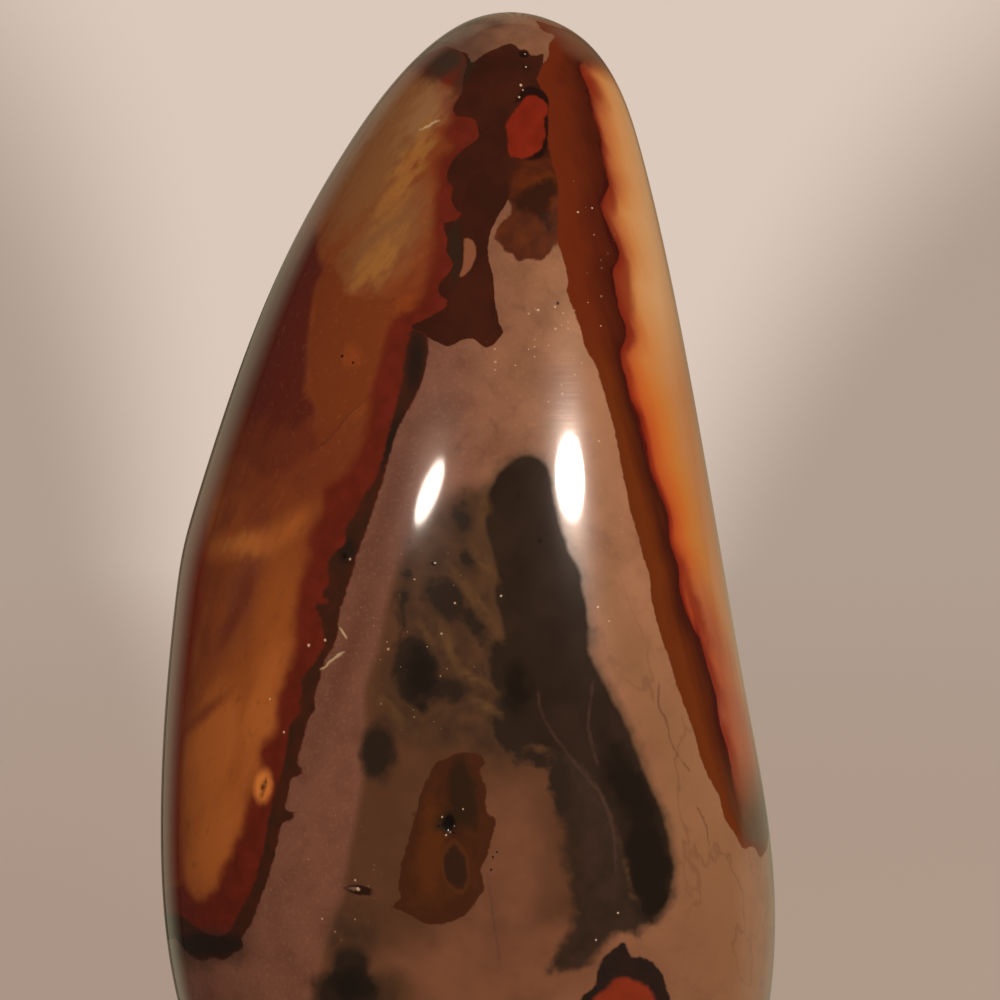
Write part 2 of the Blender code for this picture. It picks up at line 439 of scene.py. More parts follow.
# Soft blotches: middle (x, y), half length, half width, all in pixels, and the lean of the
# long axis to the right in degrees.
BLOTCHES = {
    "olive_blotch": (
        (416, 670, 36, 23, -8), (450, 688, 19, 12, -75), (446, 600, 25, 17, -35),
        (472, 620, 22, 9, -50), (461, 521, 16, 10, 12), (469, 560, 12, 9, 0), (404, 598, 26, 4, 5),
        (518, 722, 36, 26, -20), (512, 664, 32, 24, 0), (540, 760, 20, 10, -50),
        (560, 780, 30, 11, -10),
    ),
    "veil_dark": (
        (379, 750, 30, 17, 0), (350, 966, 20, 18, 30), (346, 992, 34, 24, 90),
    ),
    "olive_haze": (
        (448, 590, 92, 50, 0), (440, 690, 60, 62, 0), (496, 705, 60, 40, 0), (470, 530, 40, 26, 0),
        (352, 935, 30, 24, 0), (386, 990, 24, 20, 90),
    ),
    "veil_pale": (
        (506, 868, 80, 44, 0), (470, 975, 110, 30, 90), (520, 965, 120, 44, 90),
        (470, 1000, 60, 40, 90),
    ),
    "olive_core": (
        (648, 865, 58, 22, -6), (630, 790, 54, 15, -27), (420, 674, 26, 15, 0),
        (516, 688, 26, 14, 0), (350, 985, 18, 14, 90),
    ),
    "golden_blotch": (
        (483, 562, 20, 5, -38), (478, 604, 42, 5, -35), (449, 646, 26, 5, -18),
        (471, 676, 20, 5, -60), (426, 634, 16, 3, -30), (484, 509, 14, 4, 10),
        (388, 706, 22, 5, -45), (486, 706, 16, 5, -60),
    ),
    "tan_flank": (
        (705, 830, 190, 34, -12), (655, 700, 130, 16, -22),
    ),
    # Painted light: a lighter strip of the ground mass where the right lamps fall, and a painted halo
    # beside the right lamp's reflection.
    "lit_flank_and_halo": (
        (604, 440, 120, 22, -12), (596, 430, 40, 16, -10), (585, 340, 60, 26, -10),
        (630, 560, 70, 12, -14),
    ),
    # Painted shade: the right flank darker low down, where less light falls, and along the band.
    "flank_painted_shade": (
        (700, 940, 110, 60, 0), (664, 720, 74, 18, -16),
    ),
    "seam_side": (
        (350, 650, 60, 8, 18), (392, 500, 60, 11, 18),
    ),
    "bright_left": (
        (316, 862, 110, 32, 12), (290, 985, 70, 22, 90),
    ),
    "panel_ochre": (
        (408, 116, 68, 28, 38), (372, 172, 68, 26, 34), (384, 240, 58, 28, 36),
    ),
    "panel_rose": (
        (392, 84, 40, 9, 46), (350, 142, 50, 9, 38), (312, 214, 44, 9, 28), (446, 100, 22, 6, -20),
    ),
    "panel_gold": (
        (378, 262, 32, 11, 40), (406, 172, 44, 9, 28), (250, 543, 18, 8, 80),
    ),
    "panel_sand": (
        (424, 112, 38, 13, 30), (372, 120, 56, 9, 40),
    ),
    "panel_amber": (
        (250, 543, 28, 10, 80), (291, 524, 26, 10, 50), (264, 712, 62, 18, 14),
        (216, 840, 56, 22, 14), (214, 750, 60, 24, 10), (297, 665, 30, 6, 12),
    ),
    "panel_smear": (
        (206, 712, 28, 5, 48), (232, 620, 26, 5, 24), (246, 590, 16, 7, 10),
    ),
    "seam_shade": ((206, 948, 40, 17, 90),),
    "seam_dark": (
        (212, 945, 40, 12, 90), (347, 550, 14, 9, 20), (391, 440, 30, 7, 22), (416, 360, 30, 8, 6),
    ),
    "panel_eye": ((263, 786, 16, 9, 5),),
    "panel_tan": (
        (222, 770, 130, 36, 12), (272, 630, 80, 22, 12),
    ),
    "panel_mauve": (
        (360, 138, 110, 14, 38), (300, 228, 50, 14, 25), (240, 600, 60, 12, 15),
    ),
    "patch_green": (
        (455, 250, 30, 6, 0), (470, 64, 16, 5, 20), (547, 196, 8, 4, 0),
    ),
    "panel_green": (
        (446, 62, 26, 13, 60), (464, 74, 20, 6, 20),
    ),
    "amber_spot": (
        (352, 356, 11, 9, 0), (406, 304, 12, 8, 60), (583, 340, 12, 6, -20), (545, 78, 14, 6, 10),
    ),
    "cap_spot": ((496, 24, 10, 4, 82),),
    "crown_haze": ((581, 42, 46, 13, -52),),
    "vug": (
        (448, 824, 9, 6, 20), (263, 788, 8, 2, 15),
    ),
    "lens": ((359, 890, 15, 5, 99),),
    "lens_glint": ((354, 889, 6, 2, 99),),
    "inclusion_streak": (
        (464, 796, 36, 14, -4), (450, 820, 18, 11, 60),
    ),
    "inclusion_oval": ((456, 868, 27, 14, -6),),
    "inclusion_amber": (
        (431, 856, 40, 13, 5), (432, 815, 14, 7, 0),
    ),
    "zone_salmon": (
        (738, 735, 84, 18, -18), (716, 640, 60, 10, -18),
    ),
    "zone_crimson": (
        (610, 198, 22, 6, -10), (622, 288, 44, 10, -6), (627, 340, 14, 8, 20),
        (591, 84, 26, 5, -28), (694, 604, 48, 6, -18), (710, 672, 44, 5, -18),
        (726, 738, 36, 4, -18),
    ),
    "sparkle": (
        (538, 360, 52, 46, 0), (605, 522, 30, 14, 0), (420, 640, 80, 60, 0), (330, 880, 60, 40, 0),
        (590, 320, 40, 16, -10), (590, 210, 30, 14, -10),
    ),
}

# Thin lines, as pixels of the photograph.
VEINS = {
    "pale_vein": (
        ((538, 690), (541, 711), (550, 729), (563, 748), (575, 763), (588, 779), (599, 792),
            (609, 814), (614, 836), (616, 872)),
        ((593, 681), (590, 706), (588, 723), (593, 748), (598, 766)),
        ((487, 872), (491, 901), (495, 930), (500, 964)),
    ),
    "dark_vein": (
        ((376, 388), (364, 401), (350, 413), (338, 428), (321, 446), (312, 450)),
        ((659, 683), (659, 706), (667, 723), (671, 743), (682, 761), (691, 773)),
        ((697, 807), (706, 826), (709, 846)),
    ),
    "quartz_vein": (
        ((320, 670), (330, 662), (344, 652)),
        ((341, 628), (346, 638)),
        ((420, 130), (439, 120)),
    ),
}
VEIN_REACH = 1.0  # millimetres to each side within which a vein is known

# Bright grains and painted glints in pits, then pinholes darkened as painted shade: pixel of the
# photograph, radius in millimetres.
# Those beside a pinhole, in the lens and round the vug are painted glints; the rest are bright grains.
GRAINS_AND_GLINTS = (
    (618, 913, 0.17), (596, 940, 0.16), (598, 607, 0.2), (609, 621, 0.16), (599, 441, 0.16),
    (501, 596, 0.2), (521, 85, 0.22), (523, 90, 0.16), (519, 97, 0.2), (538, 310, 0.2),
    (555, 307, 0.16), (563, 313, 0.14), (350, 559, 0.26), (358, 889, 0.3), (578, 212, 0.18),
    (592, 208, 0.16), (309, 645, 0.26), (325, 640, 0.2), (284, 732, 0.2), (270, 699, 0.2),
    (525, 54, 0.14), (526, 67, 0.18), (435, 563, 0.16), (450, 832, 0.2), (454, 826, 0.16),
    (442, 817, 0.18), (446, 835, 0.14), (463, 809, 0.14),
)
# Pinholes, laid dark as painted shade inside them.
DARK_DOTS = (
    (434, 564, 0.4), (540, 541, 0.3), (518, 496, 0.25), (342, 356, 0.25), (353, 363, 0.25),
    (558, 303, 0.28), (493, 857, 0.26), (491, 870, 0.26), (524, 54, 0.8), (526, 67, 0.5),
    (497, 852, 0.16), (345, 556, 0.5), (454, 833, 0.22), (439, 826, 0.2),
)

REACH = 10.0  # millimetres to which distances from an outline are kept
BLOTCH_END = 82.0  # the turn, in degrees, from which blotches fade, and over how far
BLOTCH_FADE = 30.0
VUG_DEPTH = 0.4  # millimetres
VUG_EDGE = (-0.25, 0.45)  # the vug field at a pit's rim and where its floor begins

# Samples along an outline: their spacing in pixels and in degrees, and how many cross a gap.
FRONT_SPACING = 1.2
BEHIND_SPACING = 0.5
BRIDGE_SAMPLES = 30

# The small bends of a border that the photograph doesn't show: their size and pace where they
# bend turns, heights and the ends of blotches, and the pace and size of their three waves.
TURN_BENDS = (2.0, 0.31)
HEIGHT_BENDS = (1.0, 0.17)
BLOTCH_BENDS = (9.0, 0.27)
BEND_WAVES = ((1.0, 1.0), (2.3, 0.5), (5.1, 0.12))


def rounded(points, spacing, closed=False):
    """A smooth line through points, in steps of the spacing."""
    points = np.array(points, float)
    if closed:
        line = np.vstack([points[-1], points, points[:2]])
    else:
        line = np.vstack([2 * points[0] - points[1], points, 2 * points[-1] - points[-2]])
    pieces = []
    for a, b, c, d in zip(line, line[1:], line[2:], line[3:]):
        t1 = np.linalg.norm(b - a) ** 0.5
        t2 = t1 + np.linalg.norm(c - b) ** 0.5
        t3 = t2 + np.linalg.norm(d - c) ** 0.5
        count = max(2, int(np.linalg.norm(c - b) / spacing))
        t = np.linspace(t1, t2, count, endpoint=False)[:, None]
        ab = a + (b - a) * t / t1
        bc = b + (c - b) * (t - t1) / (t2 - t1)
        cd = c + (d - c) * (t - t2) / (t3 - t2)
        abc = ab + (bc - ab) * t / t2
        bcd = bc + (cd - bc) * (t - t1) / (t3 - t1)
        pieces.append(abc + (bcd - abc) * (t - t1) / (t2 - t1))
    if not closed:
        pieces.append(points[-1:])
    return np.concatenate(pieces)


class Photograph:
    """Finds where pixels of the photograph lie on the stone."""

    def __init__(self, camera, mesh):
        self.camera = camera
        corners = [vertex.co for vertex in mesh.vertices]
        self.tree = BVHTree.FromPolygons(corners, [face.vertices for face in mesh.polygons])

    def hit(self, pixel):
        eye, way = pixel_ray(self.camera, pixel)
        return self.tree.ray_cast(eye, way)

    def places(self, pixels):
        """Points on the stone in millimetres; pixels beside the stone are left out."""
        found = [self.hit(pixel)[0] for pixel in pixels]
        return np.array([tuple(place / MM) for place in found if place is not None])

    def pixels(self, places):
        """Where points in millimetres show in the photograph, as x and y."""
        turn = np.array(self.camera.matrix_world.to_3x3())
        seen = (places * MM - np.array(self.camera.location)) @ turn
        half = PHOTO_SIZE / 2
        reach = half / math.tan(self.camera.data.angle / 2)
        return half + reach * seen[:, 0] / -seen[:, 2], half - reach * seen[:, 1] / -seen[:, 2]


def wander(along, bends):
    """The small bends of a border at places along it."""
    size, pace = bends
    return size * sum(share * np.sin(quick * pace * along + quick) for quick, share in BEND_WAVES)


def bridge(start, end):
    """Samples on the stone from the end of one run of an outline to the start of the next."""
    turn, next_turn = turn_of([start, end])
    around = (next_turn - turn + 180) % 360 - 180
    share = np.linspace(0.0, 1.0, BRIDGE_SAMPLES)
    return surface(turn + around * share, start[2] + (end[2] - start[2]) * share)


def loop_of(photo, runs):
    """Samples along an outline, in millimetres, and their turns and heights."""
    closed = len(runs) == 1
    pieces = []
    for kind, points in runs:
        if kind == "front":
            pieces.append(photo.places(rounded(points, FRONT_SPACING, closed)))
        else:
            turns, heights = rounded(points, BEHIND_SPACING, closed).T
            turns, heights = turns + wander(heights, TURN_BENDS), heights + wander(turns, HEIGHT_BENDS)
            pieces.append(surface(turns, heights))
    if not closed:
        gaps = [bridge(piece[-1], after[0]) for piece, after in zip(pieces, pieces[1:] + pieces[:1])]
        pieces = [run for pair in zip(pieces, gaps) for run in pair]
    places = np.concatenate(pieces)
    return places, turn_of(places), places[:, 2]


def inside(turn, height, loop_turn, loop_height):
    """Whether places lie within a closed line on the unrolled stone.

    A line that runs all the way round holds what is above it, up to the tip.
    """
    line = np.degrees(np.unwrap(np.radians(np.append(loop_turn, loop_turn[0]))))
    level = np.append(loop_height, loop_height[0])
    if abs(line[-1] - line[0]) > 180:
        line = np.append(line, [line[-1], line[0], line[0]])
        above = TIP_HEIGHT + REACH
        level = np.append(level, [above, above, level[0]])
    middle = (line.min() + line.max()) / 2
    turn = (turn - middle + 180) % 360 - 180 + middle
    within = np.zeros(len(turn), bool)
    near = np.flatnonzero(
        (turn >= line.min()) & (turn <= line.max()) & (height >= level.min()) & (height <= level.max())
    )
    x, y = turn[near], height[near]
    odd = np.zeros(len(near), bool)
    for x0, y0, x1, y1 in zip(line, level, line[1:], level[1:]):
        if y0 == y1:
            continue
        crosses = (y0 > y) != (y1 > y)
        odd ^= crosses & (x < x0 + (y - y0) * (x1 - x0) / (y1 - y0))
    within[near] = odd
    return within


def distances(places, samples):
    """Distance of each place from the nearest sample, and that sample's number."""
    tree = KDTree(len(samples))
    for i, sample in enumerate(samples):
        tree.insert(sample, i)
    tree.balance()
    away = np.full(len(places), REACH)
    which = np.zeros(len(places), int)
    low, high = samples.min(axis=0) - REACH, samples.max(axis=0) + REACH
    for i in np.flatnonzero(((places > low) & (places < high)).all(axis=1)):
        _, which[i], away[i] = tree.find(places[i])
    return np.minimum(away, REACH), which


def outline_field(photo, places, turn, runs):
    """Millimetres from an outline: above nought within it, below nought outside."""
    samples, loop_turn, loop_height = loop_of(photo, runs)
    away, _ = distances(places, samples)
    return np.where(inside(turn, places[:, 2], loop_turn, loop_height), away, -away)


def blotch_field(photo, places, turn, blotches):
    """Millimetres within the nearest of some blotches, below nought outside them."""
    x, y = photo.pixels(places)
    best = np.full(len(places), -REACH)
    for middle_x, middle_y, long, short, lean in blotches:
        lean = math.radians(lean)
        along = (x - middle_x) * math.sin(lean) - (y - middle_y) * math.cos(lean)
        beside = (x - middle_x) * math.cos(lean) + (y - middle_y) * math.sin(lean)
        radius = np.hypot(along / long, beside / short)
        best = np.maximum(best, (1 - radius) * short * PIXEL)
    end = BLOTCH_END + np.abs(wander(places[:, 2], BLOTCH_BENDS))
    hidden = np.clip((np.abs(turn) - end) / BLOTCH_FADE, 0.0, 1.0)
    return np.maximum(best - hidden * 2 * REACH, -REACH)


def vein_fields(photo, places, lines):
    """Signed distance across the nearest of some lines, and how surely the place is beside it."""
    best = np.full(len(places), REACH)
    side = np.full(len(places), REACH)
    near = np.zeros(len(places))
    for line in lines:
        samples = photo.places(rounded(line, FRONT_SPACING))
        away, which = distances(places, samples)
        ahead = samples[np.minimum(which + 1, len(samples) - 1)] - samples[np.maximum(which - 1, 0)]
        offset = places - samples[which]
        over = ahead[:, 0] * offset[:, 2] - ahead[:, 2] * offset[:, 0]
        ended = (which == 0) | (which == len(samples) - 1)
        closer = away < best
        best = np.where(closer, away, best)
        side = np.where(closer, np.sign(over) * away, side)
        sure = np.clip((VEIN_REACH - away) / (VEIN_REACH / 2), 0.0, 1.0) * ~ended
        near = np.where(closer, sure, near)
    return side, near


def press_in(mesh, field):
    """Small open hollows in the polish."""
    rim, floor = VUG_EDGE
    share = np.clip((field - rim) / (floor - rim), 0.0, 1.0)
    depth = VUG_DEPTH * MM * share**2 * (3 - 2 * share)
    for i in np.flatnonzero(depth):
        vertex = mesh.vertices[i]
        vertex.co = vertex.co - vertex.normal * float(depth[i])


def mark_stone(photo, mesh, turn):
    """Stores the place of every marking on the stone's points."""
    count = len(mesh.vertices)
    places = np.empty(count * 3, np.float32)
    mesh.vertices.foreach_get("co", places)
    places = places.reshape(count, 3).astype(float) / MM
    fields = {}
    for name, runs in OUTLINES.items():
        fields[name] = outline_field(photo, places, turn, runs)
    for name, blotches in BLOTCHES.items():
        fields[name] = blotch_field(photo, places, turn, blotches)
    for name, lines in VEINS.items():
        fields[name], fields[name + "_near"] = vein_fields(photo, places, lines)
    for name, values in fields.items():
        mesh.attributes.new(name, "FLOAT", "POINT").data.foreach_set("value", values.astype(np.float32))
    press_in(mesh, fields["vug"])


def make_camera():
    """The photograph's camera: in front of the stone and a little above its middle."""
    half_view = math.atan(PHOTO_SIZE / 2 * PIXEL / CAMERA_DISTANCE)
    data = bpy.data.cameras.new("camera")
    data.angle = 2 * half_view
    data.clip_start = 0.01
    data.clip_end = 100.0
    camera = bpy.data.objects.new("camera", data)
    rise = math.radians(CAMERA_ELEVATION)
    away = Vector((0.0, -math.cos(rise), math.sin(rise)))
    aim = Vector(AIM) * MM
    camera.location = aim + away * CAMERA_DISTANCE * MM
    camera.rotation_euler = (math.radians(90.0 - CAMERA_ELEVATION), 0.0, 0.0)
    bpy.context.scene.collection.objects.link(camera)
    bpy.context.scene.camera = camera
    return camera


def pixel_ray(camera, pixel):
    """The eye, and the way from it through a pixel of the photograph."""
    half = PHOTO_SIZE / 2
    slope = math.tan(camera.data.angle / 2)
    way = Vector(((pixel[0] - half) / half * slope, (half - pixel[1]) / half * slope, -1.0))
    way.rotate(camera.rotation_euler)
    return camera.location.copy(), way.normalized()


# Lamps that the polish shows: width and height in metres, lean in degrees, power in watts.
LAMP_DISTANCE = 0.7
LAMP_COLOUR = (1.0, 0.85, 0.73)
RIGHT_LAMP = (0.155, 0.080, 0.0, 3.2)
LEFT_LAMP = (0.044, 0.093, -56.0, 0.365)
DARK_ROOM = (0.04, 0.035, 0.03)
BLACK = (0.0, 0.0, 0.0)
WHITE = (1.0, 1.0, 1.0)

# Soft lights that the polish doesn't show: place, width, power.
RIGHT_FILL = ((0.9, 0.05, 0.3), 0.6, 2.9)
BACK_FILL = ((0.0, 1.4, 0.25), 0.8, 6.0)


def area_light(name, place, way, lean, width, power):
    """A warm light that shines along a way and isn't seen itself."""
    data = bpy.data.lights.new(name, "AREA")
    data.size = width
    data.energy = power
    data.color = LAMP_COLOUR
    light = bpy.data.objects.new(name, data)
    light.location = place
    facing = way.to_track_quat("-Z", "Y") @ Quaternion((0.0, 0.0, 1.0), math.radians(lean))
    light.rotation_euler = facing.to_euler()
    light.visible_camera = False
    bpy.context.scene.collection.objects.link(light)
    return light


def lamp(name, photo, glint, kind):
    """An oval lamp whose reflection in the stone shows at a pixel of the photograph."""
    width, height, lean, power = kind
    place, normal, _, _ = photo.hit(glint)
    out = pixel_ray(photo.camera, glint)[1].reflect(normal)
    light = area_light(name, place + out * LAMP_DISTANCE, -out, lean, width, power)
    light.data.shape = "ELLIPSE"
    light.data.size_y = height


def soft_light(name, kind):
    """A light that brightens a side of the stone without a reflection."""
    place, width, power = kind
    light = area_light(name, place, Vector(AIM) * MM - Vector(place), 0.0, width, power)
    light.visible_glossy = False


def stage_paint(name, glow, colour=BLACK):
    """A dull surface that glows by itself."""
    paint = Paint(name)
    inputs = paint.shader.inputs
    paint.feed(inputs["Base Color"], colour)
    paint.feed(inputs["Roughness"], 1.0)
    paint.feed(inputs["Specular IOR Level"], 0.0)
    paint.feed(inputs["Emission Strength"], 1.0)
    paint.feed(inputs["Emission Color"], glow)
    return paint


def stage_piece(name, places, faces, shares, paint):
    """A piece of the stage with a number on each of its points, which its paint calls share."""
    mesh = bpy.data.meshes.new(name)
    mesh.from_pydata(places, [], faces)
    mesh.attributes.new("share", "FLOAT", "POINT").data.foreach_set("value", shares)
    mesh.materials.append(paint.material)
    piece = bpy.data.objects.new(name, mesh)
    bpy.context.scene.collection.objects.link(piece)
    return piece


def linear(colour):
    """Linear light of a colour given in the 0-255 scale of a picture."""
    share = np.array(colour, float) / 255.0
    low = share / 12.92
    high = ((share + 0.055) / 1.055) ** 2.4
    return tuple(float(c) for c in np.where(share <= 0.04045, low, high))


# The backdrop: its colours at heights above the foot of its reach, in metres, and a bright part
# in the middle that widens with height. The bright part ends softly between two distances from
# its middle line. The distances shrink towards the height where it is wide without end. Its
# darker foot and sides are painted shade, for the stone's shadows on it and the lamps' light
# falling off.
BOWL_RADIUS = 3.0
BOWL_FOOT = -0.55
BOWL_GLOW = (
    (0.0, (168, 150, 136)),
    (0.345, (176, 158, 144)),
    (0.759, (175, 157, 143)),
    (1.15, (220, 202, 188)),
)
BOWL_BRIGHT = (219, 201, 187)
BRIGHT_LEAN = 0.187
BRIGHT_MIDDLE = -0.021
BRIGHT_EDGE = (0.350, 0.163)
BRIGHT_OPEN = 0.56
BRIGHT_REFERENCE = 0.586
BRIGHT_FOOT = -0.214
BRIGHT_SHRINKING = 0.5  # how fast it narrows below its foot


def make_bowl():
    """A large round backdrop with the photograph's soft glow, darker at its foot and sides as painted
    shade.
    """
    bpy.ops.mesh.primitive_uv_sphere_add(segments=64, ring_count=32, radius=BOWL_RADIUS)
    bowl = bpy.context.object
    bowl.name = "backdrop"
    paint = stage_paint("backdrop", BLACK)
    paint.light = WHITE
    place = paint.vector("SCALE", paint.place, scale=MM)
    z = paint.axis(place, "Z")
    base = paint.ramp(paint.math("SUBTRACT", z, BOWL_FOOT), BOWL_GLOW)
    middle = paint.math("MULTIPLY_ADD", z, BRIGHT_LEAN, BRIGHT_MIDDLE)
    aside = paint.math("ABSOLUTE", paint.math("SUBTRACT", paint.axis(place, "X"), middle))
    narrowing = paint.math("DIVIDE", paint.math("SUBTRACT", BRIGHT_OPEN, z), BRIGHT_REFERENCE)
    within = paint.times(aside, paint.math("MAXIMUM", narrowing, 0.0))
    below = paint.math("MAXIMUM", paint.math("SUBTRACT", BRIGHT_FOOT, z), 0.0)
    away = paint.math("MULTIPLY_ADD", below, BRIGHT_SHRINKING, within)
    glow = paint.mix(base, paint.tint(BOWL_BRIGHT), paint.step(away, *BRIGHT_EDGE))
    paint.feed(paint.shader.inputs["Emission Color"], glow)
    bowl.data.materials.append(paint.material)
    bowl.visible_glossy = False
    bowl.visible_shadow = False


# The floor: its own glow and colour, and the radii between which it fades into the backdrop.
FLOOR_GLOW = (0.27, 0.21, 0.173)
FLOOR_COLOUR = (0.16, 0.13, 0.11)
FLOOR_NEAR = 0.25
FLOOR_FAR = 0.80
FLOOR_RINGS = 24
FLOOR_SPOKES = 96


def make_floor():
    """A disc that fades into the backdrop."""
    places = []
    fade = []
    for radius in np.linspace(FLOOR_FAR / FLOOR_RINGS, FLOOR_FAR, FLOOR_RINGS):
        for angle in np.linspace(0.0, 2 * math.pi, FLOOR_SPOKES, endpoint=False):
            places.append((radius * math.cos(angle), radius * math.sin(angle), 0.0))
            fade.append(float(np.clip((FLOOR_FAR - radius) / (FLOOR_FAR - FLOOR_NEAR), 0.0, 1.0)))
    faces = [tuple(range(FLOOR_SPOKES))]
    faces += [face[::-1] for face in quads(FLOOR_RINGS, FLOOR_SPOKES)]
    paint = stage_paint("floor", FLOOR_GLOW, FLOOR_COLOUR)
    paint.feed(paint.shader.inputs["Alpha"], paint.field("share"))
    floor = stage_piece("floor", places, faces, fade, paint)
    floor.visible_glossy = False


# Pale walls behind the stone that only its polish shows. Each fades in from its outer turn, is
# full up to straight behind the stone, and fades out there within the other wall. Rows: height
# in metres, outer turn in degrees, glow.
WALL_RADIUS = 1.6
WALL_STEPS = 30
WALL_COLOUR = (1.0, 0.92, 0.62)
WALL_FADE = 17.0
WALL_OVERLAP = 20.0
LEFT_WALL = ((-0.9, -46.0, 0.28), (-0.2, -47.0, 0.28), (0.45, -54.0, 0.34), (3.0, -54.0, 0.34))
RIGHT_WALL = ((-0.9, 85.0, 0.29), (-0.06, 85.0, 0.29), (0.14, 45.0, 0.12), (3.0, 45.0, 0.12))


def make_wall(name, rows):
    """A curved wall that only the polish shows."""
    places = []
    glow = []
    for height, outer, brightness in rows:
        inner = -math.copysign(WALL_OVERLAP, outer)
        for turn in np.linspace(outer, inner, WALL_STEPS + 1):
            angle = math.radians(turn)
            places.append((WALL_RADIUS * math.sin(angle), WALL_RADIUS * math.cos(angle), height))
            fade = min(abs(turn - outer) / WALL_FADE, abs(turn - inner) / WALL_OVERLAP, 1.0)
            glow.append(brightness * fade)
    paint = stage_paint(name, WALL_COLOUR)
    paint.feed(paint.shader.inputs["Emission Strength"], paint.field("share"))
    faces = quads(len(rows), WALL_STEPS + 1, closed=False)
    wall = stage_piece(name, places, faces, glow, paint)
    wall.visible_camera = False
    wall.visible_diffuse = False
    wall.visible_shadow = False


# The light that falls on the front, the left flank and the right flank. Colours below are those
# that show in that light, in the 0-255 scale of a picture.
FRONT_LIGHT = (1.25, 1.19, 1.14)
LEFT_LIGHT = (0.97, 0.93, 0.90)
RIGHT_LIGHT = (1.34, 1.27, 1.21)

# Noises: size of a grain in millimetres, detail, how far it is drawn out, and its lean in degrees.
NOISES = {
    "dust": (0.5, 2.0, 1.0, 0.0),
    "fine": (0.8, 3.0, 1.0, 0.0),
    "lumpy": (2.2, 4.0, 1.0, 0.0),
    "broad": (5.0, 3.0, 1.0, 0.0),
    "vast": (16.0, 1.0, 1.0, 0.0),
    "streak": (1.2, 4.0, 2.5, 36.0),
    "flow": (3.0, 3.0, 2.5, 36.0),
    "band": (1.2, 3.0, 8.0, -14.0),
    "crack": (9.0, 4.0, 2.6, -20.0),
}

# How much of the lamps' light the ground mass draws out into a haze.
HAZE = 0.5


